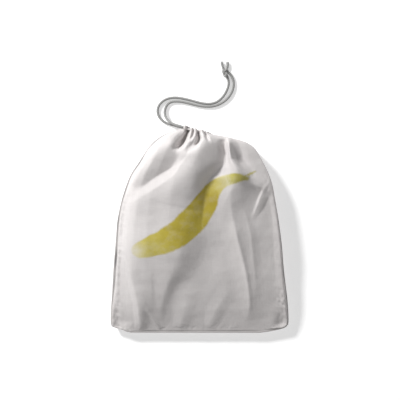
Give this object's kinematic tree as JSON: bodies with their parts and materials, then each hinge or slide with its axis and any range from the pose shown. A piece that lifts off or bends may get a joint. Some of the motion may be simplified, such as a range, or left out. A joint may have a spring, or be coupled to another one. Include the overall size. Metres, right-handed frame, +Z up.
{
  "type": "drawstring shoe bag",
  "caption": "Soft cotton drawstring shoe bag lying on its back, its mouth gathered shut on a knotted cord; the cord slides out of the hem channel.",
  "frame": {"origin": "on the surface that the bag lies on, under the middle of the bag without its free cord", "axes": "+X across the bag to the right as its front is seen, +Y from the bottom seam to the mouth, +Z up out of the front panel"},
  "size_m": [0.296, 0.4437, 0.052],
  "materials": {
    "cotton_cloth": "matte",
    "seam_cloth": "matte",
    "sewing_thread": "matte",
    "grey_cord": "matte"
  },
  "bodies": {
    "bag": {"front_panel": "cotton_cloth", "back_panel": "cotton_cloth", "left_seam_allowance": "seam_cloth", "right_seam_allowance": "seam_cloth", "bottom_seam_allowance": "seam_cloth", "front_channel_hem": "cotton_cloth", "back_channel_hem": "cotton_cloth", "front_channel_stitching": "sewing_thread", "back_channel_stitching": "sewing_thread", "drawcord_in_channel": "grey_cord"},
    "drawcord": {"drawcord_front_strand": "grey_cord", "drawcord_back_strand": "grey_cord", "end_knot": "grey_cord", "front_cord_tail": "grey_cord", "back_cord_tail": "grey_cord"}
  },
  "joints": [
    {"name": "drawcord_pull", "type": "slide", "parent": "bag", "child": "drawcord", "axis": [-0.9563, 0.2924, 0], "range_m": [0, 0.015]}
  ]
}
